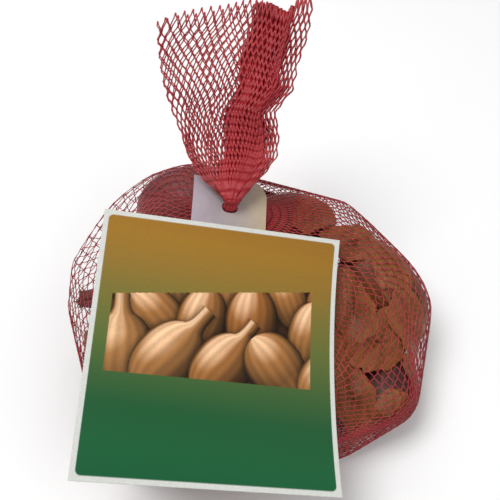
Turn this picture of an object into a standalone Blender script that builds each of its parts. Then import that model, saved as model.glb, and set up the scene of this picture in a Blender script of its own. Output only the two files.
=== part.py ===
"""Net bag of shallots: eleven bulbs in a gathered plastic net, with a card label and a strap.

Metres, +Z up. The pack lies on its back on the ground plane, label upwards, the gathered
top of the net rising towards +Y. Blender 4.5, standalone.
"""
import bpy
import bmesh
import math
from mathutils import Vector
from mathutils.bvhtree import BVHTree

MM = 0.001

# ---------------------------------------------------------------- driving dimensions (mm)
ORIGIN = Vector((8.65, 29.64, 0.0))      # moves the model so the origin is under its middle

# label: centre of the front face, its axes, size
LABEL_C = Vector((0.13, -0.15, 48.56))
LABEL_RT = Vector((0.97398, 0.01753, -0.22598))
LABEL_UP = Vector((0.04100, 0.96694, 0.25170))
LABEL_W, LABEL_H, LABEL_T = 80.0, 84.0, 0.45
LABEL_DIP = 1.2                          # the right-hand side is pressed down towards the bag
LABEL_BOW = 2.0                          # and its edge is drawn in by this much at mid height

STRAP_L, STRAP_R = -11.8, 13.7           # strap edges across the label
STRAP_B, STRAP_TOP = 28.0, 60.5          # strap ends along the label
STRAP_T, STRAP_LOW = 0.4, 0.6            # thickness, how far its front lies behind the label's
STRAP_CHAMFER = 4.1
STRAP_DROOP = 1.6                        # bend of the free end
NECK_AT = (1.0, 49.0)                    # where the net's neck passes through the strap
NECK_W, NECK_D = 2.4, 1.6                # half width and half depth of the neck
HOLE_GAP = 0.4

# net
NET_T = 0.5                              # thickness of the knitted net, folds included
NET_CLEAR = 2.4                          # from the bulbs to the outside of the net
NET_UNDER_LABEL = 1.5                    # from the label's front to the outside of the net
AROUND = 36
BAG_ROWS = 28
TUFT_DIR = Vector((0.0, 0.788, 0.616))
TUFT_D = 1.5                             # half depth of the flattened top
# distance along the gathered top, its left and right edge
TUFT = ((2.5, -3.6, 3.6), (8.0, -8.4, 8.8), (15.0, -12.4, 15.2), (23.0, -15.3, 16.0),
        (31.0, -18.2, 15.6), (38.5, -20.5, 20.6), (54.0, -23.6, 25.0), (67.5, -22.8, 26.8))
CLOSE_AT = Vector((-3.0, -30.0, 24.0))   # where the lower end of the net is gathered
TAIL = 4.2                               # net left beyond the closure
CLIP_L, CLIP_IN, CLIP_OUT = 2.4, 2.8, 4.3

# bulbs: name, middle, direction of the neck (azimuth, elevation), radius, half length, neck
BULBS = (
    ("shallot_1", (58.6, 37.8, 25.8), 133.0, 27.0, 13.4, 22.5, 4.5),
    ("shallot_2", (57.8, 4.6, 13.4), 75.0, -21.0, 11.6, 16.5, 4.0),
    ("shallot_3", (32.0, 9.3, 24.6), 87.8, 10.3, 13.8, 20.5, 8.0),
    ("shallot_4", (-14.4, 67.8, 37.2), 2.2, 18.8, 15.5, 20.5, 5.5),
    ("shallot_5", (23.2, 59.9, 33.0), 197.0, 6.0, 14.3, 19.0, 6.0),
    ("shallot_6", (-28.4, 38.7, 17.0), 181.2, 5.0, 15.4, 20.3, 6.8),
    ("shallot_7", (-11.5, 18.2, 36.1), -133.4, 0.5, 15.3, 20.0, 5.5),
    ("shallot_8", (-26.2, -7.2, 17.2), 119.1, -9.0, 16.0, 21.0, 8.0),
    ("shallot_9", (6.5, -8.1, 16.2), 100.6, -2.1, 15.0, 20.0, 8.0),
    ("shallot_10", (5.7, 81.1, 16.2), -20.8, 0.0, 15.0, 18.5, 7.0),
    ("shallot_11", (12.5, 34.6, 15.7), 4.4, -7.8, 14.5, 19.0, 7.0),
)
BULB_STEPS = 16

# the net stands away from the bulbs at these places, where the filling doesn't reach
STANDS_AT = ((-44.3, 74.4, 34.0), (-53.9, 59.9, 30.0), (-58.5, 50.0, 26.0), (-61.6, 38.0, 19.0),
             (-58.5, 36.3, 13.0), (-29.4, 82.7, 40.0), (42.4, -18.4, 5.0), (62.5, -2.0, 8.0),
             (74.0, 18.5, 19.0), (46.5, 66.0, 42.0), (52.0, 60.5, 40.5), (-50.3, 27.6, 12.0))

COLOURS = {
    "net_plastic": ((0.26, 0.015, 0.03), 0.45, 0.0),
    "label_card": ((0.10, 0.24, 0.06), 0.4, 0.0),
    "strap_card": ((0.72, 0.68, 0.72), 0.5, 0.0),
    "clip_metal": ((0.77, 0.78, 0.79), 0.35, 1.0),
    "skin_golden": ((0.30, 0.12, 0.035), 0.5, 0.0),
    "skin_purple": ((0.13, 0.05, 0.045), 0.5, 0.0),
    "skin_maroon": ((0.20, 0.035, 0.04), 0.5, 0.0),
}
SKINS = {"shallot_2": "skin_purple", "shallot_4": "skin_maroon", "shallot_6": "skin_maroon",
         "shallot_8": "skin_purple"}

LABEL_N = LABEL_RT.cross(LABEL_UP).normalized()

# ---------------------------------------------------------------- scene set-up
for ob in list(bpy.data.objects):
    bpy.data.objects.remove(ob, do_unlink=True)

parts = bpy.data.collections.new("net_bag_of_shallots")
cutters = bpy.data.collections.new("cutters")
bpy.context.scene.collection.children.link(parts)
bpy.context.scene.collection.children.link(cutters)


def material(name):
    colour, rough, metal = COLOURS[name]
    mat = bpy.data.materials.get(name) or bpy.data.materials.new(name)
    mat.use_nodes = True
    bsdf = mat.node_tree.nodes["Principled BSDF"]
    bsdf.inputs["Base Color"].default_value = (*colour, 1.0)
    bsdf.inputs["Roughness"].default_value = rough
    bsdf.inputs["Metallic"].default_value = metal
    mat.diffuse_color = (*colour, 1.0)
    return mat


def add(name, bm, mat=None, where=parts, smooth=True):
    me = bpy.data.meshes.new(name)
    bm.to_mesh(me)
    bm.free()
    for p in me.polygons:
        p.use_smooth = smooth
    ob = bpy.data.objects.new(name, me)
    where.objects.link(ob)
    if mat:
        me.materials.append(material(mat))
    return ob


def out(p):
    """Design millimetres to the model's metres."""
    return (Vector(p) - ORIGIN) * MM


# ---------------------------------------------------------------- bulbs
def bulb_profile(radius, half, neck):
    """Radius and height along the bulb's axis, from the root plate to the end of the neck."""
    pts = [(0.0, -half - 0.4), (2.4, -half - 0.4), (3.0, -half + 0.3)]
    shoulder = 0.62
    for i in range(1, 7):
        a = -1.0 + (shoulder + 1.0) * i / 6.0
        pts.append((radius * (1.0 - abs(a) ** 2.3) ** 0.58, half * a))
    r0 = pts[-1][0]
    for f, r in ((0.30, 0.58), (0.55, 0.36)):
        pts.append((max(3.7, r0 * r), half * shoulder + f * (half * (1 - shoulder) + neck)))
    pts.append((3.4, half + neck - 2.0))
    pts.append((3.8, half + neck))
    pts.append((0.0, half + neck))
    return pts


def direction(az, el):
    az, el = math.radians(az), math.radians(el)
    return Vector((math.cos(az) * math.cos(el), math.sin(az) * math.cos(el), math.sin(el)))


for name, mid, az, el, radius, half, neck in BULBS:
    bm = bmesh.new()
    row = [bm.verts.new((r * MM, 0.0, z * MM)) for r, z in bulb_profile(radius, half, neck)]
    for a, b in zip(row, row[1:]):
        bm.edges.new((a, b))
    ob = add(name, bm, SKINS.get(name, "skin_golden"))
    screw = ob.modifiers.new("Turn", "SCREW")
    screw.steps = screw.render_steps = BULB_STEPS
    screw.use_merge_vertices = True
    screw.merge_threshold = 0.00001
    screw.use_normal_calculate = True
    screw.use_smooth_shade = True
    ob.location = out(mid)
    ob.rotation_euler = (0.0, math.radians(90.0 - el), math.radians(az))


# ---------------------------------------------------------------- label and strap
def on_label(a, b, c):
    return LABEL_C + LABEL_RT * a + LABEL_UP * b + LABEL_N * c


def label_dip(a, b):
    if abs(b) > LABEL_H / 2 or a < -LABEL_W / 2:
        return 0.0
    return LABEL_DIP * min(1.0, a / LABEL_W + 0.5) ** 2 * (1.0 - (2.0 * b / LABEL_H) ** 2)


def label_point(u, v):
    a, b = (u - 0.5) * LABEL_W, (v - 0.5) * LABEL_H
    drawn = LABEL_BOW * max(0.0, u) ** 3 * (1.0 - (2.0 * v - 1.0) ** 2)
    return on_label(a - drawn, b, -label_dip(a, b))


def strap_point(u, v):
    b = STRAP_B + (STRAP_TOP - STRAP_B) * v
    right = STRAP_R - 0.68 * max(0.0, b - (STRAP_TOP - STRAP_CHAMFER))
    a = STRAP_L + (right - STRAP_L) * u
    bend = STRAP_DROOP * (max(0.0, b - 53.0) / (STRAP_TOP - 53.0)) ** 2
    return on_label(a, b, -STRAP_LOW - label_dip(a, b) - bend)


def sheet(name, point, nu, nv, thick, mat):
    bm = bmesh.new()
    grid = [[bm.verts.new(out(point(i / nu, j / nv))) for i in range(nu + 1)]
            for j in range(nv + 1)]
    for j in range(nv):
        for i in range(nu):
            bm.faces.new((grid[j][i], grid[j][i + 1], grid[j + 1][i + 1], grid[j + 1][i]))
    ob = add(name, bm, mat)
    solid = ob.modifiers.new("Thickness", "SOLIDIFY")
    solid.thickness = thick * MM
    solid.offset = -1.0
    return ob


sheet("label_card", label_point, 8, 8, LABEL_T, "label_card")
strap = sheet("label_strap", strap_point, 4, 12, STRAP_T, "strap_card")


def oval(u, half_w, half_d):
    """Point of a flattened ring: round ends joined by straight sides."""
    side = half_w - half_d
    v = (u + 0.125) % 1.0 * 4.0
    zone, f = int(v), v - int(v)
    if zone == 0:
        t = math.radians(-90.0 + 180.0 * f)
        return side + half_d * math.cos(t), half_d * math.sin(t)
    if zone == 1:
        return side - 2.0 * side * f, half_d
    if zone == 2:
        t = math.radians(90.0 + 180.0 * f)
        return -side + half_d * math.cos(t), half_d * math.sin(t)
    return -side + 2.0 * side * f, -half_d


bm = bmesh.new()
lower, upper = [], []
for i in range(24):
    x, y = oval(i / 24.0, NECK_W + HOLE_GAP, NECK_D + HOLE_GAP)
    lower.append(bm.verts.new(out(on_label(NECK_AT[0] + x, NECK_AT[1] - y, -6.0))))
    upper.append(bm.verts.new(out(on_label(NECK_AT[0] + x, NECK_AT[1] - y, 5.0))))
bm.faces.new(lower)
bm.faces.new(upper)
for i in range(24):
    j = (i + 1) % 24
    bm.faces.new((lower[i], lower[j], upper[j], upper[i]))
bmesh.ops.recalc_face_normals(bm, faces=bm.faces)
punch = add("strap_hole", bm, None, cutters, False)
punch.hide_render = True
punch.display_type = "WIRE"
cut = strap.modifiers.new("Neck hole", "BOOLEAN")
cut.operation = "DIFFERENCE"
cut.solver = "EXACT"
cut.object = punch


# ---------------------------------------------------------------- net
def filling():
    """The taut shape that the net takes round the bulbs."""
    bm = bmesh.new()
    for name, mid, az, el, radius, half, neck in BULBS:
        axis = direction(az, el)
        e1 = axis.orthogonal().normalized()
        e2 = axis.cross(e1)
        for r, z in bulb_profile(radius + NET_CLEAR, half + 0.8 * NET_CLEAR, neck):
            for i in range(24):
                t = math.radians(15.0 * i)
                bm.verts.new(Vector(mid) + axis * z + (e1 * math.cos(t) + e2 * math.sin(t)) * r)
    for p in STANDS_AT:
        bm.verts.new(p)
    bm.verts.new(NECK_BELOW)
    bm.verts.new(CLOSE_AT)
    hull = bmesh.ops.convex_hull(bm, input=bm.verts)
    tree = BVHTree.FromBMesh(bm)
    bm.free()
    return tree


NECK_BELOW = on_label(NECK_AT[0], NECK_AT[1], -2.3)
surface = filling()


def settle(p):
    """The net lies flat on the ground and stays behind the label and its strap."""
    d = p - LABEL_C
    a, b, c = d.dot(LABEL_RT), d.dot(LABEL_UP), d.dot(LABEL_N)
    over_label = max(abs(a) - LABEL_W / 2, abs(b) - LABEL_H / 2)
    over_strap = max(STRAP_L - a, a - STRAP_R, b - STRAP_TOP, STRAP_B - b)
    away = max(0.0, min(over_label, over_strap) - 2.0)
    limit = -NET_UNDER_LABEL - label_dip(a, b) + 0.6 * away
    if c > limit:
        p = p - LABEL_N * (c - limit)
    return Vector((p.x, p.y, max(p.z, 0.0)))


BAG_AXIS = (NECK_BELOW - CLOSE_AT).normalized()
BAG_E1 = (Vector((1, 0, 0)) - BAG_AXIS * BAG_AXIS.x).normalized()
BAG_E2 = BAG_E1.cross(BAG_AXIS)


def touch(turn, t):
    """Where the net is met, looking out from the bag's middle."""
    side = BAG_E1 * math.cos(turn) + BAG_E2 * math.sin(turn)
    start = (NECK_BELOW + CLOSE_AT) / 2
    return surface.ray_cast(start, BAG_AXIS * math.cos(t) + side * math.sin(t))[0]


def equal_turns(count):
    """Angles round the bag that give lines about equally far apart at its widest."""
    steps = 360
    run = [0.0]
    for i in range(steps):
        gap = 0.0
        for t in (1.15, 1.57, 2.0):
            p = touch(2 * math.pi * i / steps, t)
            gap = max(gap, (touch(2 * math.pi * (i + 1) / steps, t) - p).length)
        run.append(run[-1] + gap)
    turns, k = [], 0
    for i in range(count):
        s = run[-1] * i / count
        while run[k + 1] < s:
            k += 1
        turns.append(2 * math.pi * (k + (s - run[k]) / (run[k + 1] - run[k])) / steps)
    return turns


def bag_line(turn, rows, first, last):
    """One line of the bag from the neck to the lower closure, equally spaced."""
    line = [NECK_BELOW] + [touch(turn, math.pi * i / 160.0) for i in range(1, 160)] + [CLOSE_AT]
    run = [0.0]
    for p, q in zip(line, line[1:]):
        run.append(run[-1] + (q - p).length)
    pts, k = [], 0
    for r in range(rows):
        s = first + (run[-1] - first - last) * r / (rows - 1)
        while run[k + 1] < s:
            k += 1
        f = (s - run[k]) / (run[k + 1] - run[k])
        pts.append(settle(line[k].lerp(line[k + 1], f)))
    return pts


def ring(centre, axis, half_w, half_d, e1=Vector((1, 0, 0))):
    axis = axis.normalized()
    e1 = (e1 - axis * e1.dot(axis)).normalized()
    e2 = e1.cross(axis)
    pts = []
    for i in range(AROUND):
        x, y = oval(i / AROUND, half_w, half_d)
        pts.append(centre + e1 * x + e2 * y)
    return pts


rings = []
tuft_base = on_label(NECK_AT[0], NECK_AT[1], 2.4)
for dist, left, right in reversed(TUFT):
    middle = tuft_base + TUFT_DIR * dist + Vector((1, 0, 0)) * (left + right) / 2
    depth = min(TUFT_D, NECK_D)
    rings.append(ring(middle, TUFT_DIR, (right - left) / 2, depth))
rings.append(ring(tuft_base, LABEL_N + TUFT_DIR, NECK_W, NECK_D))
rings.append(ring(on_label(*NECK_AT, 0.4), LABEL_N, NECK_W, NECK_D))
rings.append(ring(on_label(*NECK_AT, -1.6), LABEL_N, NECK_W, NECK_D))
lines = [bag_line(turn, BAG_ROWS, 5.2, 5.0) for turn in equal_turns(AROUND)]
for r in range(BAG_ROWS):
    rings.append([line[r] for line in lines])
back = Vector((0, 1, 0))
rings.append(ring(CLOSE_AT - back * 0.4, back, 2.4, 1.9))
rings.append(ring(CLOSE_AT - back * (CLIP_L + 0.8), back, 2.4, 1.9))
rings.append(ring(CLOSE_AT - back * TAIL, back, 3.2, 2.6))

bm = bmesh.new()
rows = [[bm.verts.new(out(p)) for p in r] for r in rings]
for a, b in zip(rows, rows[1:]):
    for i in range(AROUND):
        j = (i + 1) % AROUND
        bm.faces.new((a[i], a[j], b[j], b[i]))
bm.faces.new(rows[-1])
bmesh.ops.recalc_face_normals(bm, faces=bm.faces)
net = add("net_bag", bm, "net_plastic")
solid = net.modifiers.new("Thickness", "SOLIDIFY")
solid.thickness = NET_T * MM
solid.offset = -1.0

# ---------------------------------------------------------------- closure of the lower end
bm = bmesh.new()
edge = 0.35
prof = [(CLIP_IN, -CLIP_L / 2), (CLIP_OUT - edge, -CLIP_L / 2), (CLIP_OUT, -CLIP_L / 2 + edge),
        (CLIP_OUT, CLIP_L / 2 - edge), (CLIP_OUT - edge, CLIP_L / 2), (CLIP_IN, CLIP_L / 2)]
row = [bm.verts.new((r * MM, 0.0, z * MM)) for r, z in prof]
for i in range(len(row)):
    bm.edges.new((row[i], row[(i + 1) % len(row)]))
clip = add("bottom_clip", bm, "clip_metal")
screw = clip.modifiers.new("Turn", "SCREW")
screw.steps = screw.render_steps = 20
screw.use_merge_vertices = True
screw.merge_threshold = 0.00001
screw.use_normal_calculate = True
clip.location = out(CLOSE_AT - back * (0.6 + CLIP_L / 2))
clip.rotation_euler = (math.radians(90.0), 0.0, 0.0)
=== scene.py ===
"""Looks of the net bag of shallots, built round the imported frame."""
import bpy
import bmesh
import math
import numpy as np
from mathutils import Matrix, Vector
from mathutils.bvhtree import BVHTree


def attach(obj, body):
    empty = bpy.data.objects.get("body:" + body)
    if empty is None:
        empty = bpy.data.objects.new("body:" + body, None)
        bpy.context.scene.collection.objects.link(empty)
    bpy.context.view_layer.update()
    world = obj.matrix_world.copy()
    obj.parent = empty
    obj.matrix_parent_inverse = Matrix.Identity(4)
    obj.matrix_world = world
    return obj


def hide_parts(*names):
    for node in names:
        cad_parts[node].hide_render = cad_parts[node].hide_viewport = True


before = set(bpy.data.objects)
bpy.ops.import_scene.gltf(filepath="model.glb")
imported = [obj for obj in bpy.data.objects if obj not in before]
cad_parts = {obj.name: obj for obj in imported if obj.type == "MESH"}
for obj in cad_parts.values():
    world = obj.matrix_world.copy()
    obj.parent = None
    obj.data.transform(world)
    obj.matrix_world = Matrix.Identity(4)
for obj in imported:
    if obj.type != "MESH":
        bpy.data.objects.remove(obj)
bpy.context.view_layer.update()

MM = 0.001
ORIGIN = np.array((8.65, 29.64, 0.0))

# ------------------------------------------------------------ design values shared with the CAD (mm)
LABEL_C = np.array((0.13, -0.15, 48.56))
LABEL_RT = np.array((0.97398, 0.01753, -0.22598))
LABEL_UP = np.array((0.04100, 0.96694, 0.25170))
LABEL_N = np.cross(LABEL_RT, LABEL_UP)
LABEL_N = LABEL_N / np.linalg.norm(LABEL_N)
LABEL_W, LABEL_H, LABEL_T = 80.0, 84.0, 0.45
LABEL_DIP, LABEL_BOW = 1.2, 2.0
STRAP_L, STRAP_R, STRAP_B, STRAP_TOP = -11.8, 13.7, 28.0, 60.5
STRAP_T, STRAP_LOW, STRAP_CHAMFER, STRAP_DROOP = 0.4, 0.6, 4.1, 1.6
NECK_AT = (1.0, 49.0)
NECK_W, NECK_D = 2.4, 1.6
TUFT_DIR = np.array((0.0, 0.788, 0.616))
CLOSE_AT = np.array((-3.0, -30.0, 24.0))
CLIP_L, CLIP_IN, CLIP_OUT = 2.4, 2.8, 4.3

BULBS = (
    ("shallot_1", (58.6, 37.8, 25.8), 133.0, 27.0, 13.4, 22.5, 4.5),
    ("shallot_2", (57.8, 4.6, 13.4), 75.0, -21.0, 11.6, 16.5, 4.0),
    ("shallot_3", (32.0, 9.3, 24.6), 87.8, 10.3, 13.8, 20.5, 8.0),
    ("shallot_4", (-14.4, 67.8, 37.2), 2.2, 18.8, 15.5, 20.5, 5.5),
    ("shallot_5", (23.2, 59.9, 33.0), 197.0, 6.0, 14.3, 19.0, 6.0),
    ("shallot_6", (-28.4, 38.7, 17.0), 181.2, 5.0, 15.4, 20.3, 6.8),
    ("shallot_7", (-11.5, 18.2, 36.1), -133.4, 0.5, 15.3, 20.0, 5.5),
    ("shallot_8", (-26.2, -7.2, 17.2), 119.1, -9.0, 16.0, 21.0, 8.0),
    ("shallot_9", (6.5, -8.1, 16.2), 100.6, -2.1, 15.0, 20.0, 8.0),
    ("shallot_10", (5.7, 81.1, 16.2), -20.8, 0.0, 15.0, 18.5, 7.0),
    ("shallot_11", (12.5, 34.6, 15.7), 4.4, -7.8, 14.5, 19.0, 7.0),
)
SKIN = {"shallot_2": "purple", "shallot_4": "maroon", "shallot_6": "maroon",
        "shallot_8": "purple"}


def to_m(p):
    return (np.asarray(p, float) - ORIGIN) * MM


# ------------------------------------------------------------ small helpers
def mesh_object(name, verts, faces, smooth=True):
    me = bpy.data.meshes.new(name)
    me.from_pydata([tuple(v) for v in verts], [], faces)
    me.validate()
    me.polygons.foreach_set("use_smooth", [smooth] * len(me.polygons))
    me.update()
    ob = bpy.data.objects.new(name, me)
    bpy.context.scene.collection.objects.link(ob)
    return ob


def quads_object(name, verts, quads, smooth=True):
    """Mesh from numpy arrays, quads only."""
    me = bpy.data.meshes.new(name)
    n, f = len(verts), len(quads)
    me.vertices.add(n)
    me.vertices.foreach_set("co", np.asarray(verts, np.float32).ravel())
    me.loops.add(4 * f)
    me.loops.foreach_set("vertex_index", np.asarray(quads, np.int32).ravel())
    me.polygons.add(f)
    me.polygons.foreach_set("loop_start", np.arange(0, 4 * f, 4, dtype=np.int32))
    me.polygons.foreach_set("use_smooth", np.full(f, smooth))
    me.update(calc_edges=True)
    ob = bpy.data.objects.new(name, me)
    bpy.context.scene.collection.objects.link(ob)
    return ob


def point_colours(ob, name, rgb):
    at = ob.data.attributes.new(name, "FLOAT_COLOR", "POINT")
    rgba = np.ones((len(rgb), 4), np.float32)
    rgba[:, :3] = rgb
    at.data.foreach_set("color", rgba.ravel())


def smooth_step(x, a, b):
    t = np.clip((np.asarray(x, float) - a) / (b - a), 0, 1)
    return t * t * (3 - 2 * t)


def lin(r, g, b):
    """Linear colour from 0-255 display values."""
    c = np.array((r, g, b), float) / 255.0
    return tuple(np.where(c <= 0.04045, c / 12.92, ((c + 0.055) / 1.055) ** 2.4))


class Nodes:
    """Short-hand for making a node material."""

    def __init__(self, name):
        self.mat = bpy.data.materials.new(name)
        self.mat.use_nodes = True
        self.tree = self.mat.node_tree
        self.bsdf = self.tree.nodes["Principled BSDF"]

    def new(self, kind, **kw):
        n = self.tree.nodes.new(kind)
        for k, v in kw.items():
            setattr(n, k, v)
        return n

    def link(self, a, b):
        self.tree.links.new(a, b)

    def object_coords(self, scale=(1, 1, 1)):
        tc = self.new("ShaderNodeTexCoord")
        mp = self.new("ShaderNodeMapping")
        mp.inputs["Scale"].default_value = scale
        self.link(tc.outputs["Object"], mp.inputs["Vector"])
        return mp.outputs["Vector"]

    def attribute(self, name, out="Color"):
        at = self.new("ShaderNodeAttribute", attribute_name=name)
        return at.outputs[out]

    def scaled(self, vec, scale):
        mp = self.new("ShaderNodeMapping")
        mp.inputs["Scale"].default_value = scale
        self.link(vec, mp.inputs["Vector"])
        return mp.outputs["Vector"]

    def noise(self, vec, scale, detail=3.0, rough=0.55, dist=0.0):
        n = self.new("ShaderNodeTexNoise")
        n.inputs["Scale"].default_value = scale
        n.inputs["Detail"].default_value = detail
        n.inputs["Roughness"].default_value = rough
        n.inputs["Distortion"].default_value = dist
        self.link(vec, n.inputs["Vector"])
        return n.outputs["Fac"]

    def ramp(self, fac, stops):
        r = self.new("ShaderNodeValToRGB")
        el = r.color_ramp.elements
        while len(el) < len(stops):
            el.new(0.5)
        for e, (pos, col) in zip(el, stops):
            e.position = pos
            e.color = (*col, 1.0)
        self.link(fac, r.inputs["Fac"])
        return r.outputs["Color"]

    def mix(self, fac, a, b, mode="MIX"):
        m = self.new("ShaderNodeMix", data_type="RGBA", blend_type=mode)
        if isinstance(fac, (int, float)):
            m.inputs["Factor"].default_value = fac
        else:
            self.link(fac, m.inputs["Factor"])
        for sock, v in ((m.inputs[6], a), (m.inputs[7], b)):
            if isinstance(v, tuple):
                sock.default_value = (*v, 1.0)
            else:
                self.link(v, sock)
        return m.outputs[2]

    def math(self, op, a, b=None, clamp=False):
        m = self.new("ShaderNodeMath", operation=op, use_clamp=clamp)
        for i, v in enumerate((a, b)):
            if v is None:
                continue
            if isinstance(v, (int, float)):
                m.inputs[i].default_value = v
            else:
                self.link(v, m.inputs[i])
        return m.outputs[0]

    def bump(self, height, strength, distance, normal=None):
        b = self.new("ShaderNodeBump")
        b.inputs["Strength"].default_value = strength
        b.inputs["Distance"].default_value = distance
        self.link(height, b.inputs["Height"])
        if normal is not None:
            self.link(normal, b.inputs["Normal"])
        return b.outputs["Normal"]

    def set(self, **kw):
        for k, v in kw.items():
            sock = self.bsdf.inputs[k.replace("_", " ")]
            if isinstance(v, (int, float)):
                sock.default_value = v
            elif isinstance(v, tuple):
                sock.default_value = (*v, 1.0)
            else:
                self.link(v, sock)
        return self.mat


# ------------------------------------------------------------ bulbs
def bulb_profile(radius, half, neck):
    pts = [(0.0, -half - 0.4), (2.4, -half - 0.4), (3.0, -half + 0.3)]
    shoulder = 0.62
    for i in range(1, 7):
        a = -1.0 + (shoulder + 1.0) * i / 6.0
        pts.append((radius * (1.0 - abs(a) ** 2.3) ** 0.58, half * a))
    r0 = pts[-1][0]
    for f, r in ((0.30, 0.58), (0.55, 0.36)):
        pts.append((max(3.7, r0 * r), half * shoulder + f * (half * (1 - shoulder) + neck)))
    pts.append((3.4, half + neck - 2.0))
    pts.append((3.8, half + neck))
    pts.append((0.0, half + neck))
    return pts


def direction(az, el):
    az, el = math.radians(az), math.radians(el)
    return np.array((math.cos(az) * math.cos(el), math.sin(az) * math.cos(el), math.sin(el)))


def bulb_basis(az, el):
    """Local X, Y, Z of a bulb turned as in the CAD."""
    a, e = math.radians(az), math.radians(90.0 - el)
    ca, sa, ce, se = math.cos(a), math.sin(a), math.cos(e), math.sin(e)
    return np.array(((ca * ce, -sa, ca * se), (sa * ce, ca, sa * se), (-se, 0.0, ce)))


def smooth_profile(radius, half, neck, n):
    """Fine version of the bulb's outline: body, shoulder, waist of the dry neck, ragged end."""
    base = [p for p in bulb_profile(radius, half, neck)[2:-2]]
    z = np.array([p[1] for p in base])
    r = np.array([p[0] for p in base])
    z = np.r_[z, half + neck]
    r = np.r_[r, 3.7]
    # pass a smooth curve through the design points (Catmull-Rom over the index)
    t = np.arange(len(z))
    q = np.linspace(0, len(z) - 1, n)
    out = []
    for s in q:
        i = min(int(s), len(z) - 2)
        f = s - i
        i0, i3 = max(i - 1, 0), min(i + 2, len(z) - 1)
        w = (-0.5 * f + f * f - 0.5 * f ** 3, 1 - 2.5 * f * f + 1.5 * f ** 3,
             0.5 * f + 2 * f * f - 1.5 * f ** 3, -0.5 * f * f + 0.5 * f ** 3)
        out.append((sum(a * b for a, b in zip(w, (r[i0], r[i], r[i + 1], r[i3]))),
                    sum(a * b for a, b in zip(w, (z[i0], z[i], z[i + 1], z[i3])))))
    return np.array(out)


def wave(theta, seed, terms):
    """Sum of a few sine ripples round the bulb."""
    rng = np.random.default_rng(seed)
    tot = np.zeros_like(theta)
    for n, amp in terms:
        tot += amp * np.sin(n * theta + rng.uniform(0, 2 * math.pi))
    return tot


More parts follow.
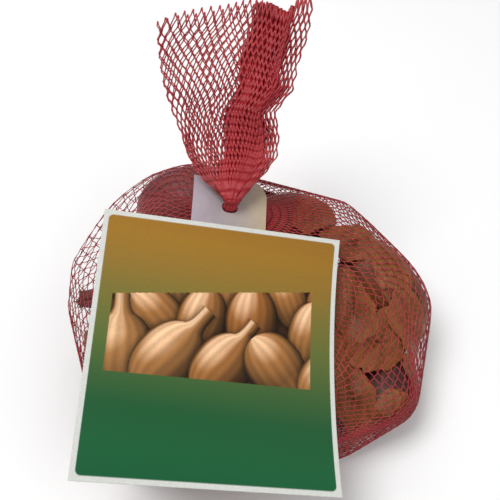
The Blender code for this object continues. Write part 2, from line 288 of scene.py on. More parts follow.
def make_bulb(index, name, mid, az, el, radius, half, neck):
    rng = np.random.default_rng(100 + index)
    nt, nz = 120, 84
    prof = smooth_profile(radius, half, neck, nz)
    theta = np.linspace(0, 2 * math.pi, nt, endpoint=False)
    T, R = np.meshgrid(theta, prof[:, 0])
    _, Z = np.meshgrid(theta, prof[:, 1])
    zn = Z / half                                    # -1 root, +1 shoulder of the neck
    up = smooth_step(zn, 0.35, 1.15)
    low = 1 - smooth_step(zn, -1.0, -0.7)
    lumps = wave(T + 0.15 * zn, 7 * index + 1, ((2, 0.022), (3, 0.014), (5, 0.006)))
    ribs = wave(T + 0.22 * zn, 7 * index + 2, ((17, 0.0035), (23, 0.003), (31, 0.003), (44, 0.0018)))
    pleat = wave(T + 0.5 * zn, 7 * index + 3, ((7, 0.05), (10, 0.045), (13, 0.035), (19, 0.025)))
    scale = 0.985 + 0.6 * lumps * (1 - 0.5 * up) + ribs * (1 - up) + pleat * up * 0.9 - 0.02 * up
    R2 = R * scale
    # a loose outer skin that ends in a torn edge
    side = rng.uniform(0, 2 * math.pi)
    torn = side + 0.9 + 0.28 * np.sin(3.1 * zn + index) + 0.10 * np.sin(9.7 * zn + 2 * index)
    gap = (T - torn + math.pi) % (2 * math.pi) - math.pi
    skin = smooth_step(gap, -0.012, 0.012) * (1 - smooth_step(gap, 1.5, 2.6))
    skin = skin * smooth_step(zn, -0.96, -0.8) * (1 - 0.8 * up)
    lift = np.exp(-np.clip(gap, 0, 9) / 0.22) * skin
    R2 = R2 - 0.32 + 0.26 * skin + 0.30 * lift
    Z2 = Z + 0.0 * T
    # ragged end of the neck
    end = smooth_step(Z, half + neck - 3.0, half + neck)
    Z2 = Z2 + end * wave(T, 7 * index + 4, ((2, 0.5), (5, 0.45), (9, 0.35), (14, 0.3))) - 1.1 * end
    X = R2 * np.cos(T)
    Y = R2 * np.sin(T)
    # the neck leans a little
    lean = np.clip((Z - 0.55 * half) / (0.45 * half + neck), 0, 1) ** 2
    la = rng.uniform(0, 2 * math.pi)
    X = X + 0.9 * lean * math.cos(la)
    Y = Y + 0.9 * lean * math.sin(la)
    V = np.stack([X, Y, Z2], -1).reshape(-1, 3)
    quads = []
    ii = np.arange(nt)
    jj = (ii + 1) % nt
    for k in range(nz - 1):
        quads.append(np.stack([k * nt + ii, k * nt + jj, (k + 1) * nt + jj, (k + 1) * nt + ii], -1))
    # inside of the dry neck: the ring turns in and down, then closes with folded layers
    extra = []
    last = (nz - 1) * nt
    top = V[last:last + nt]
    centre = top.mean(0)
    rings = []
    for f, drop, amp in ((0.80, 0.15, 0.0), (0.62, 1.3, 0.08), (0.40, 0.9, 0.12), (0.24, 1.6, 0.1), (0.10, 1.5, 0.0)):
        ring = centre + (top - centre) * (f * (1 + amp * np.sin(5 * theta + index))[:, None])
        ring[:, 2] = top[:, 2] * f + centre[2] * (1 - f) - drop
        rings.append(ring)
    base = len(V)
    V = np.vstack([V] + rings)
    prev = last
    for k in range(len(rings)):
        cur = base + k * nt
        quads.append(np.stack([prev + ii, prev + jj, cur + jj, cur + ii], -1))
        prev = cur
    # root plate: rings going in at the other end
    start = V[:nt]
    c0 = start.mean(0)
    rings = []
    for f, dz in ((0.85, -0.5), (0.6, -0.75), (0.35, -0.6), (0.12, -0.65)):
        ring = c0 + (start - c0) * (f * (1 + 0.08 * np.sin(9 * theta + index))[:, None])
        ring[:, 2] = c0[2] + dz + 0.14 * np.sin(11 * theta + f * 20 + index)
        rings.append(ring)
    base = len(V)
    V = np.vstack([V] + rings)
    prev = 0
    for k in range(len(rings)):
        cur = base + k * nt
        quads.append(np.stack([prev + jj, prev + ii, cur + ii, cur + jj], -1))
        prev = cur
    end_root = prev
    quads = np.vstack(quads)
    end_neck = base - nt
    # close both ends
    faces_end = [list(range(end_neck, end_neck + nt)), [end_root + i for i in reversed(range(nt))]]
    # dry root fibres
    fv, fq = [], []
    off = len(V)
    for _ in range(26):
        a = rng.uniform(0, 2 * math.pi)
        r0 = rng.uniform(0.5, 2.5)
        p = np.array((r0 * math.cos(a), r0 * math.sin(a), c0[2] - 0.4))
        d = np.array((math.cos(a), math.sin(a), -0.25))
        n = 6
        path = []
        curl = rng.uniform(-1, 1)
        for s in range(n):
            path.append(p.copy())
            d = d + np.array((-math.sin(a) * curl * 0.5, math.cos(a) * curl * 0.5, rng.uniform(-0.2, 0.32)))
            d = d / np.linalg.norm(d)
            p = p + d * rng.uniform(0.30, 0.62)
            p[2] = min(max(p[2], c0[2] - 1.0), c0[2] + 0.8)
        path = np.array(path)
        w = np.linspace(0.17, 0.06, n)
        for s in range(n):
            for dx, dy in ((1, 0), (0, 1), (-1, 0), (0, -1)):
                side_v = np.array((-math.sin(a), math.cos(a), 0.0))
                fv.append(path[s] + side_v * dx * w[s] + np.array((0, 0, 1.0)) * dy * w[s])
        for s in range(n - 1):
            for q in range(4):
                r = (q + 1) % 4
                b = off + s * 4
                fq.append((b + q, b + r, b + 4 + r, b + 4 + q))
        fq.append((off + 3, off + 2, off + 1, off))
        e = off + (n - 1) * 4
        fq.append((e, e + 1, e + 2, e + 3))
        off += n * 4
    V = np.vstack([V, np.array(fv)])
    faces = [tuple(int(x) for x in q) for q in quads] + faces_end + fq
    M = bulb_basis(az, el)
    Vw = V @ M.T + np.array(mid)
    ob = mesh_object("bulb_%d" % (index + 1), (Vw - ORIGIN) * MM, faces)
    bm = bmesh.new()
    bm.from_mesh(ob.data)
    bmesh.ops.recalc_face_normals(bm, faces=bm.faces)
    bm.to_mesh(ob.data)
    bm.free()
    # where each point lies round and along the bulb, for the skin's veins
    rr = np.hypot(V[:, 0], V[:, 1]) + 1e-6
    lay = np.stack([V[:, 0] / rr * 0.5 + 0.5, V[:, 1] / rr * 0.5 + 0.5,
                    np.clip((V[:, 2] + half) / (2 * half + neck), 0, 1)], -1)
    point_colours(ob, "lay", lay)
    tint = np.zeros((len(V), 3))
    tint[:nz * nt, 0] = skin.reshape(-1)
    tint[:nz * nt, 1] = (up * (0.6 + 0.4 * end)).reshape(-1)
    tint[nz * nt:, 1] = 1.0
    tint[:nz * nt, 2] = low.reshape(-1)
    tint[base:, 2] = 1.0
    point_colours(ob, "tint", tint)
    return ob, Vw


def skin_material(kind, seed):
    n = Nodes("skin_%s_%d" % (kind, seed))
    lay = n.attribute("lay")
    tint = n.new("ShaderNodeSeparateColor")
    n.link(n.attribute("tint"), tint.inputs[0])
    loose, neck, root = tint.outputs[0], tint.outputs[1], tint.outputs[2]
    shift = n.new("ShaderNodeVectorMath", operation="ADD")
    shift.inputs[1].default_value = (seed * 3.1, seed * 1.7, seed * 0.9)
    n.link(lay, shift.inputs[0])
    v = shift.outputs[0]
    veins = n.noise(n.scaled(v, (26, 26, 1.6)), 1.0, 5.0, 0.6, 0.25)
    fine = n.noise(n.scaled(v, (80, 80, 3.5)), 1.0, 3.0, 0.6, 0.1)
    blot = n.noise(n.object_coords((1, 1, 1)), 95.0, 4.0, 0.6, 0.4)
    broad = n.noise(n.scaled(v, (3.0, 3.0, 1.8)), 1.0, 2.0, 0.5, 0.2)
    if kind == "golden":
        cols = (lin(84, 42, 16), lin(120, 66, 26), lin(150, 90, 40), lin(176, 118, 62))
        loose_c, dark, neck_c = lin(160, 100, 48), lin(58, 28, 12), lin(146, 104, 62)
    elif kind == "purple":
        cols = (lin(58, 30, 28), lin(86, 50, 44), lin(106, 66, 56), lin(124, 82, 68))
        loose_c, dark, neck_c = lin(112, 70, 56), lin(40, 22, 24), lin(120, 86, 66)
    else:
        cols = (lin(72, 22, 32), lin(104, 38, 46), lin(130, 56, 58), lin(150, 80, 74))
        loose_c, dark, neck_c = lin(138, 70, 62), lin(48, 16, 26), lin(132, 84, 70)
    base = n.ramp(veins, ((0.28, cols[0]), (0.46, cols[1]), (0.58, cols[2]), (0.74, cols[3])))
    base = n.mix(n.ramp(fine, ((0.35, (0, 0, 0)), (0.65, (0.45, 0.45, 0.45)))), base, dark)
    base = n.mix(n.ramp(broad, ((0.42, (0, 0, 0)), (0.62, (0.55, 0.55, 0.55)))), base, cols[0])
    base = n.mix(n.ramp(blot, ((0.60, (0, 0, 0)), (0.72, (0.6, 0.6, 0.6)))), base, dark)
    base = n.mix(n.math("MULTIPLY", loose, 0.45), base, loose_c)
    base = n.mix(n.math("MULTIPLY", neck, 0.75), base, neck_c)
    streak = n.ramp(veins, ((0.40, (0, 0, 0)), (0.62, (1, 1, 1))))
    base = n.mix(n.math("MULTIPLY", n.math("MULTIPLY", neck, 0.6), streak), base, dark)
    base = n.mix(n.math("MULTIPLY", root, 0.8), base, lin(176, 142, 104))
    height = n.math("ADD", n.math("MULTIPLY", veins, 0.7), n.math("MULTIPLY", fine, 0.3))
    rough = n.math("ADD", 0.30, n.math("MULTIPLY", veins, 0.25))
    nrm = n.bump(height, 0.5, 0.0009, n.bump(blot, 0.25, 0.0008))
    n.set(Base_Color=base, Roughness=rough, Normal=nrm)
    n.bsdf.inputs["Specular IOR Level"].default_value = 0.3
    n.bsdf.inputs["Coat Weight"].default_value = 0.04
    n.bsdf.inputs["Coat Roughness"].default_value = 0.35
    return n.mat


bulb_world = []
bulb_objects = []
for i, row in enumerate(BULBS):
    ob, pts = make_bulb(i, *row)
    kind = SKIN.get(row[0], "golden")
    ob.data.materials.append(skin_material(kind, i + 1))
    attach(ob, "root")
    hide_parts(row[0])
    bulb_world.append(pts)
    bulb_objects.append(ob)


# ------------------------------------------------------------ label and strap shapes
def on_label(a, b, c):
    a, b, c = (np.asarray(x, float)[..., None] for x in (a, b, c))
    return LABEL_C + LABEL_RT * a + LABEL_UP * b + LABEL_N * c


def label_dip(a, b):
    a, b = np.asarray(a, float), np.asarray(b, float)
    d = LABEL_DIP * np.clip(a / LABEL_W + 0.5, 0, 1) ** 2 * (1.0 - (2.0 * b / LABEL_H) ** 2)
    return np.where((np.abs(b) > LABEL_H / 2) | (a < -LABEL_W / 2), 0.0, d)


# ------------------------------------------------------------ net surface
NET_R = 0.18                                     # half the thickness of a strand
CLEAR = 0.45
STANDS_AT = ((-44.3, 74.4, 34.0), (-53.9, 59.9, 30.0), (-58.5, 50.0, 26.0), (-59.4, 37.0, 19.5),
             (-56.9, 34.3, 14.0), (-29.4, 82.7, 40.0), (42.4, -18.4, 5.0), (61.0, -2.0, 8.0),
             (73.0, 18.5, 19.0), (46.5, 66.0, 42.0), (52.0, 60.5, 40.5), (-50.3, 27.6, 12.0))
neck_below = on_label(NECK_AT[0], NECK_AT[1], -2.3)


def filling():
    bm = bmesh.new()
    for name, mid, az, el, radius, half, neck in BULBS:
        M = bulb_basis(az, el)
        prof = smooth_profile(radius, half, neck, 26)
        for r, z in np.vstack([prof, ((2.6, -half - 0.6),)]):
            for i in range(36):
                t = math.radians(10.0 * i)
                rr = r + CLEAR
                z2 = z * (1 + CLEAR / half)
                p = M @ np.array((rr * math.cos(t), rr * math.sin(t), z2)) + np.array(mid)
                bm.verts.new(tuple(p))
    for p in STANDS_AT:
        bm.verts.new(p)
    bm.verts.new(tuple(neck_below))
    bm.verts.new(tuple(CLOSE_AT))
    bmesh.ops.convex_hull(bm, input=bm.verts)
    tree = BVHTree.FromBMesh(bm)
    bm.free()
    return tree


surface = filling()
axis = neck_below - CLOSE_AT
axis = axis / np.linalg.norm(axis)
be1 = np.array((1.0, 0, 0)) - axis * axis[0]
be1 = be1 / np.linalg.norm(be1)
be2 = np.cross(be1, axis)
start = (neck_below + CLOSE_AT) / 2


def touch(turn, t):
    side = be1 * math.cos(turn) + be2 * math.sin(turn)
    d = axis * math.cos(t) + side * math.sin(t)
    return np.array(surface.ray_cast(Vector(start), Vector(d))[0])


def density(turn):
    """How many net cells there are per length round the bag: more at the sides seen."""
    deg = math.degrees(turn) % 360.0
    d = 1.0
    d += 0.55 * math.exp(-((deg - 0) / 34.0) ** 2) + 0.55 * math.exp(-((deg - 360) / 34.0) ** 2)
    d += 0.30 * math.exp(-((deg - 185) / 40.0) ** 2)
    d += 1.60 * math.exp(-((deg - 335) / 7.0) ** 2)          # a gathered fold along the right shoulder
    return d


CELLS = 84
ROWS = 64
LINES = CELLS * 2


def equal_turns(count):
    steps = 720
    run = [0.0]
    pts = [[touch(2 * math.pi * i / steps, t) for t in (1.15, 1.57, 2.0)] for i in range(steps)]
    for i in range(steps):
        gap = max(np.linalg.norm(pts[(i + 1) % steps][k] - pts[i][k]) for k in range(3))
        run.append(run[-1] + gap * density(2 * math.pi * (i + 0.5) / steps))
    run = np.array(run)
    s = run[-1] * np.arange(count) / count
    return np.interp(s, run, 2 * math.pi * np.arange(steps + 1) / steps)


def settle(P):
    d = P - LABEL_C
    a, b, c = d @ LABEL_RT, d @ LABEL_UP, d @ LABEL_N
    over_label = np.maximum(np.abs(a) - LABEL_W / 2, np.abs(b) - LABEL_H / 2)
    over_strap = np.maximum.reduce([STRAP_L - a, a - STRAP_R, b - STRAP_TOP, STRAP_B - b])
    away = np.maximum(0.0, np.minimum(over_label, over_strap) - 2.0)
    limit = -1.55 - label_dip(a, b) + 0.6 * away
    P = P - LABEL_N * np.maximum(0.0, c - limit)[..., None]
    P[..., 2] = np.maximum(P[..., 2], 0.36)
    return P


def bag_lines():
    turns = equal_turns(LINES)
    out = []
    for turn in turns:
        line = [neck_below] + [touch(turn, math.pi * i / 240.0) for i in range(1, 240)] + [CLOSE_AT]
        line = np.array(line)
        run = np.r_[0, np.cumsum(np.linalg.norm(np.diff(line, axis=0), axis=1))]
        out.append((line, run))
    return out


lines = bag_lines()
FINE = 4                                           # samples per row along a line
table_v = np.linspace(0, 1, ROWS * FINE + 1)


def bag_table():
    """Net surface sampled on every half-cell line."""
    tab = np.zeros((LINES, len(table_v), 3))
    for k, (line, run) in enumerate(lines):
        first, last = 3.4, 3.2
        s = first + (run[-1] - first - last) * table_v
        for c in range(3):
            tab[k, :, c] = np.interp(s, run, line[:, c])
    # ease the hull's creases a little
    for _ in range(3):
        tab[:, 1:-1] = 0.5 * tab[:, 1:-1] + 0.25 * (tab[:, 2:] + tab[:, :-2])
        tab[:, 3:-3] = 0.6 * tab[:, 3:-3] + 0.2 * (np.roll(tab, 1, 0) + np.roll(tab, -1, 0))[:, 3:-3]
    return settle(tab)


bag_tab = bag_table()


def oval(u, half_w, half_d):
    side = half_w - half_d
    v = (u + 0.125) % 1.0 * 4.0
    zone, f = int(v), v - int(v)
    if zone == 0:
        t = math.radians(-90.0 + 180.0 * f)
        return side + half_d * math.cos(t), half_d * math.sin(t)
    if zone == 1:
        return side - 2.0 * side * f, half_d
    if zone == 2:
        t = math.radians(90.0 + 180.0 * f)
        return -side + half_d * math.cos(t), half_d * math.sin(t)
    return -side + 2.0 * side * f, -half_d


def neck_ring(centre, ax, half_w, half_d, count=LINES):
    ax = ax / np.linalg.norm(ax)
    e1 = np.array((1.0, 0, 0)) - ax * ax[0]
    e1 = e1 / np.linalg.norm(e1)
    e2 = np.cross(e1, ax)
    out = []
    for i in range(count):
        x, y = oval(i / count, half_w, half_d)
        pinch = 0.90 + 0.09 * math.sin(22 * math.pi * i / count)
        out.append(centre + e1 * x * pinch + e2 * y * pinch)
    return np.array(out)


# ------------------------------------------------------------ gathered top
TUFT = ((0.0, -2.2, 2.2), (2.5, -4.2, 3.8), (8.0, -9.6, 9.2), (15.0, -14.0, 15.2), (19.0, -15.9, 16.0),
        (23.0, -17.1, 16.0), (28.0, -19.0, 15.0), (31.0, -20.0, 14.8), (38.5, -22.3, 20.8), (47.5, -24.4, 22.8),
        (56.0, -25.2, 25.4), (63.0, -24.8, 26.6), (71.0, -23.8, 27.4))
# the folded path of the net across the tuft: fraction of the width, layer, cells up to here
FOLD = ((1.00, 0.1, 0), (0.86, 0.55, 3), (0.58, 0.35, 10), (0.86, 0.75, 17), (0.57, 1.0, 23), (0.30, 1.35, 27),
        (0.0, 0.0, 31), (0.30, -1.2, 35), (0.58, -0.9, 39), (0.85, -0.6, 45), (0.60, -0.3, 51), (0.86, -0.7, 57),
        (1.00, 0.1, 60))


def tuft_point(cell, dist):
    """A point of the gathered top; cell counts round the net, dist runs up from the strap."""
    turn = (cell % CELLS) / CELLS
    cell = turn * FOLD[-1][2]
    t = np.array([r[0] for r in TUFT])
    left = np.interp(dist, t, [r[1] for r in TUFT])
    right = np.interp(dist, t, [r[2] for r in TUFT])
    cs = np.array([f[2] for f in FOLD], float)
    x = np.interp(cell, cs, [f[0] for f in FOLD])
    y = np.interp(cell, cs, [f[1] for f in FOLD])
    depth = 1.25 + 0.9 * min(1.0, dist / 40.0)
    # the fold wanders to the right on the way up
    band = np.interp(dist, (0, 10, 20, 35, 50, 62, 71), (-0.02, -0.10, -0.10, 0.0, 0.0, 0.05, 0.06))
    x = x + band * math.sin(math.pi * min(1, max(0, x))) * 0.8
    mix = smooth_step(dist, 0.0, 9.0)
    ox, oy = oval(turn, NECK_W * 0.9, NECK_D)
    pinch = 0.90 + 0.09 * math.sin(22 * math.pi * turn)
    ox, oy = ox * pinch, oy * pinch
    fx = left + x * (right - left)
    fy = y * depth
    px = ox * (1 - mix) + fx * mix
    py = oy * (1 - mix) + fy * mix
    py += 0.5 * mix * math.sin(cell * 0.9 + dist * 0.11)
    px += 0.25 * mix * math.sin(cell * 1.7 + dist * 0.23)
    return px, py


tuft_base = on_label(NECK_AT[0], NECK_AT[1], 2.4)
tuft_e2 = np.cross(np.array((1.0, 0, 0)), TUFT_DIR)
TUFT_ROWS = 25


def tuft_top(cell):
    x = np.interp((cell % CELLS) / CELLS * FOLD[-1][2], [f[2] for f in FOLD], [f[0] for f in FOLD])
    return float(np.interp(x, (0, 0.1, 0.35, 0.55, 0.7, 0.82, 0.9, 1.0),
                           (61.0, 63.5, 65.5, 68.0, 66.5, 63.5, 69.5, 70.0)))


def tuft_at(cell, v):
    """v from 0 at the strap to 1 at the cut edge."""
    dist = v * tuft_top(cell)
    px, py = tuft_point(cell, dist)
    p = tuft_base + TUFT_DIR * dist + np.array((1.0, 0, 0)) * px + tuft_e2 * py
    bend = smooth_step(dist, 0, 8)
    if bend < 1:
        # leaves the strap's hole square to it, then leans back
        up = tuft_base + LABEL_N * 0.55 * dist + np.array((1.0, 0, 0)) * px + tuft_e2 * py
        p = up * (1 - bend) + p * bend
    return p


# ------------------------------------------------------------ strands
def tuft_band(P):
    """How deep in the gathered fold a point of the tuft lies."""
    d = P - tuft_base
    dist = d @ TUFT_DIR
    t = np.array([r[0] for r in TUFT])
    left = np.interp(dist, t, [r[1] for r in TUFT])
    right = np.interp(dist, t, [r[2] for r in TUFT])
    f = (d[..., 0] - left) / (right - left)
    at = (0, 8, 19, 37, 51, 61, 70)
    lo = np.interp(dist, at, (-0.2, 0.28, 0.42, 0.57, 0.59, 0.68, 0.76))
    hi = np.interp(dist, at, (1.2, 0.90, 0.88, 0.91, 0.88, 0.87, 0.92))
    return smooth_step(f, lo - 0.05, lo + 0.05) * (1 - smooth_step(f, hi - 0.05, hi + 0.05))


def strand_mesh(name, paths, normals, width, gather, seg_end=1.25):
    """One closed four-sided tube for each path. paths: (n, k, 3) in millimetres."""
    paths = np.asarray(paths, float)
    normals = np.asarray(normals, float)
    n, k, _ = paths.shape
    tan = np.gradient(paths, axis=1)
    tan = tan / (np.linalg.norm(tan, axis=2, keepdims=True) + 1e-9)
    nrm = normals - tan * (normals * tan).sum(2, keepdims=True)
    nrm = nrm / (np.linalg.norm(nrm, axis=2, keepdims=True) + 1e-9)
    side = np.cross(tan, nrm)
    w = np.asarray(width, float)
    if w.ndim == 0:
        w = np.full((n, k), float(w))
    ends = np.ones(k)
    ends[0] = ends[-1] = seg_end
    w = w * ends[None]
    w = w[..., None]
    ring = np.stack([paths + side * w, paths + nrm * w * 0.85, paths - side * w, paths - nrm * w * 0.85], 2)
    V = ring.reshape(-1, 3)
    base = (np.arange(n) * k * 4)[:, None]
    q = []
    for s in range(k - 1):
        for j in range(4):
            r = (j + 1) % 4
            q.append(np.concatenate([base + s * 4 + j, base + s * 4 + r, base + s * 4 + 4 + r,
                                     base + s * 4 + 4 + j], 1))
    q.append(np.concatenate([base + 3, base + 2, base + 1, base], 1))
    e = base + (k - 1) * 4
    q.append(np.concatenate([e, e + 1, e + 2, e + 3], 1))
    quads = np.vstack(q)
    ob = quads_object(name, (V - ORIGIN) * MM, quads)
    g = np.broadcast_to(np.asarray(gather, float), (n, k))
    point_colours(ob, "gather", np.repeat(g.reshape(-1), 4)[:, None] * np.ones(3))
    return ob


def s_curve(f):
    return f * f * (3 - 2 * f)


def bag_strands():
    ks = FINE + 1 if FINE < 4 else 4
    ts = np.linspace(0, 1, ks)
    spacing = np.linalg.norm(np.roll(bag_tab, -1, 0) - bag_tab, axis=2)
    paths = []
    close = []
    for row in range(ROWS):
        for i in range(CELLS):
            a = 2 * i + (row % 2)
            for step in (-1, 1):
                b = (a + step) % LINES
                v = (row + ts) / ROWS * (len(table_v) - 1)
                lo = np.clip(v.astype(int), 0, len(table_v) - 2)
                f = (v - lo)[:, None]
                A = bag_tab[a % LINES, lo] * (1 - f) + bag_tab[a % LINES, lo + 1] * f
                B = bag_tab[b, lo] * (1 - f) + bag_tab[b, lo + 1] * f
                m = s_curve(ts)[:, None]
                paths.append(A * (1 - m) + B * m)
                close.append(spacing[a % LINES, lo])
    paths = np.array(paths)
    close = 1 - smooth_step(np.array(close), 0.4, 1.25)
    mid = np.array((8.0, 35.0, 25.0))
    nrm = paths - mid
    nrm = nrm / np.linalg.norm(nrm, axis=2, keepdims=True)
    return paths, nrm, close


def tuft_strands():
    ts = np.linspace(0, 1, 4)
    paths = []
    for row in range(TUFT_ROWS):
        for i in range(CELLS):
            a = i + 0.5 * (row % 2)
            for step in (-0.5, 0.5):
                pts = []
                for t in ts:
                    m = s_curve(t)
                    cell = a + step * m
                    pts.append(tuft_at(cell, min(1.0, (row + t * (1.0 if row < TUFT_ROWS - 1 else 1.9)) / (TUFT_ROWS + 0.9))))
                paths.append(pts)
    paths = np.array(paths)
    nrm = np.broadcast_to(tuft_e2, paths.shape)
    return paths, nrm


def neck_strands():
    """From the top of the bag through the hole in the strap to the start of the tuft."""
    stations = [neck_ring(on_label(*NECK_AT, -1.6), LABEL_N, NECK_W, NECK_D, CELLS),
                neck_ring(on_label(*NECK_AT, 0.4), LABEL_N, NECK_W * 0.94, NECK_D * 0.94, CELLS)]
    paths = []
    for i in range(CELLS):
        pts = [bag_tab[2 * i, 0], stations[0][i], stations[1][i], tuft_at(float(i), 0.0)]
        paths.append(pts)
    paths = np.array(paths)
    mid = on_label(*NECK_AT, 0.0)
    nrm = paths - mid
    nrm = nrm / np.linalg.norm(nrm, axis=2, keepdims=True)
    return paths, nrm


def tail_strands():
    """From the bag's lower end through the clip to the short tail."""
    y = np.array((0.0, 1.0, 0))
    st = [neck_ring(CLOSE_AT - y * 0.4, y, 2.3, 1.9, CELLS),
          neck_ring(CLOSE_AT - y * (CLIP_L + 0.8), y, 2.3, 1.9, CELLS),
          neck_ring(CLOSE_AT - y * 4.4, y, 3.3, 2.7, CELLS)]
    paths = []
    off = ROWS % 2
    for i in range(CELLS):
        paths.append([bag_tab[(2 * i + off) % LINES, -1], st[0][i], st[1][i], st[2][i]])
    paths = np.array(paths)
    nrm = paths - (CLOSE_AT - y * 2)
    nrm = nrm / np.linalg.norm(nrm, axis=2, keepdims=True)
    return paths, nrm


def net_material():
    n = Nodes("net_plastic_red")
    co = n.object_coords()
    big = n.noise(co, 60.0, 2.0)
    small = n.noise(co, 900.0, 2.0)
    deep = n.ramp(big, ((0.3, lin(142, 28, 36)), (0.55, lin(160, 38, 44)), (0.75, lin(174, 50, 54))))
    thin = n.ramp(big, ((0.3, lin(152, 44, 50)), (0.55, lin(170, 58, 62)), (0.75, lin(186, 78, 80))))
    g = n.new("ShaderNodeSeparateColor")
    n.link(n.attribute("gather"), g.inputs[0])
    col = n.mix(g.outputs[0], thin, deep)
    col = n.mix(n.ramp(small, ((0.4, (0, 0, 0)), (0.7, (0.4, 0.4, 0.4)))), col, lin(138, 26, 38))
    n.set(Base_Color=col, Roughness=n.math("ADD", 0.3, n.math("MULTIPLY", small, 0.2)),
          Normal=n.bump(small, 0.3, 0.0002))
    n.bsdf.inputs["Specular IOR Level"].default_value = 0.35
    return n.mat


net_mat = net_material()
p1, n1, g1 = bag_strands()
half_way = len(p1) // 2
bag_net = strand_mesh("net_upper", p1[:half_way], n1[:half_way], NET_R, g1[:half_way])
low_net = strand_mesh("net_lower", p1[half_way:], n1[half_way:], NET_R, g1[half_way:])
p2, n2 = tuft_strands()
p3, n3 = neck_strands()
p4, n4 = tail_strands()
g2 = tuft_band(p2)
tuft_net = strand_mesh("net_tuft", p2, n2, 0.22 + 0.26 * g2, g2)
neck_net = strand_mesh("net_neck", np.vstack([p3, p4]), np.vstack([n3, n4]), 0.24, 1.0, 1.0)
for ob in (bag_net, low_net, tuft_net, neck_net):
    ob.data.materials.append(net_mat)
    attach(ob, "root")
    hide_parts("net_bag")


# ------------------------------------------------------------ loose papery skins inside the net
def all_bulbs():
    verts, polys = [], []
    for ob in bulb_objects:
        off = len(verts)
        verts += [tuple(np.array(v.co) / MM + ORIGIN) for v in ob.data.vertices]
        polys += [[off + i for i in p.vertices] for p in ob.data.polygons]
    return BVHTree.FromPolygons(verts, polys)


# where a skin lies, which way it faces, half its length and width, and how it is turned
LOOSE = (((46.0, 21.0, 40.0), (0.25, -0.35, 0.9), 14.0, 9.0, 70.0), ((56.0, 11.0, 33.5), (0.4, -0.4, 0.82), 16.0, 8.5, 15.0),
         ((44.0, -7.0, 28.0), (0.2, -0.45, 0.87), 13.0, 9.0, 100.0), ((54.0, -11.0, 17.0), (0.45, -0.6, 0.66), 14.0, 8.0, 30.0),
         ((66.0, 21.0, 28.0), (0.75, -0.2, 0.62), 13.0, 8.0, 80.0), ((34.0, 60.0, 46.5), (0.2, 0.25, 0.95), 13.0, 8.0, -25.0),
         ((64.0, 4.0, 14.0), (0.85, -0.4, 0.2), 13.0, 8.0, 60.0), ((20.0, 88.0, 30.0), (0.2, 0.9, 0.4), 13.0, 8.0, 10.0),
         ((-12.0, 84.0, 26.0), (-0.4, 0.85, 0.3), 12.0, 8.0, 120.0), ((-52.0, 14.0, 20.0), (-0.85, -0.3, 0.3), 11.0, 7.0, 70.0),
         ((40.0, 74.0, 24.0), (0.6, 0.75, 0.2), 13.0, 8.0, 60.0), ((50.0, 50.0, 43.0), (0.35, 0.15, 0.92), 16.0, 9.5, -35.0),
         ((60.0, 40.0, 39.0), (0.5, 0.0, 0.86), 12.0, 8.0, 40.0))
bulbs_tree = all_bulbs()


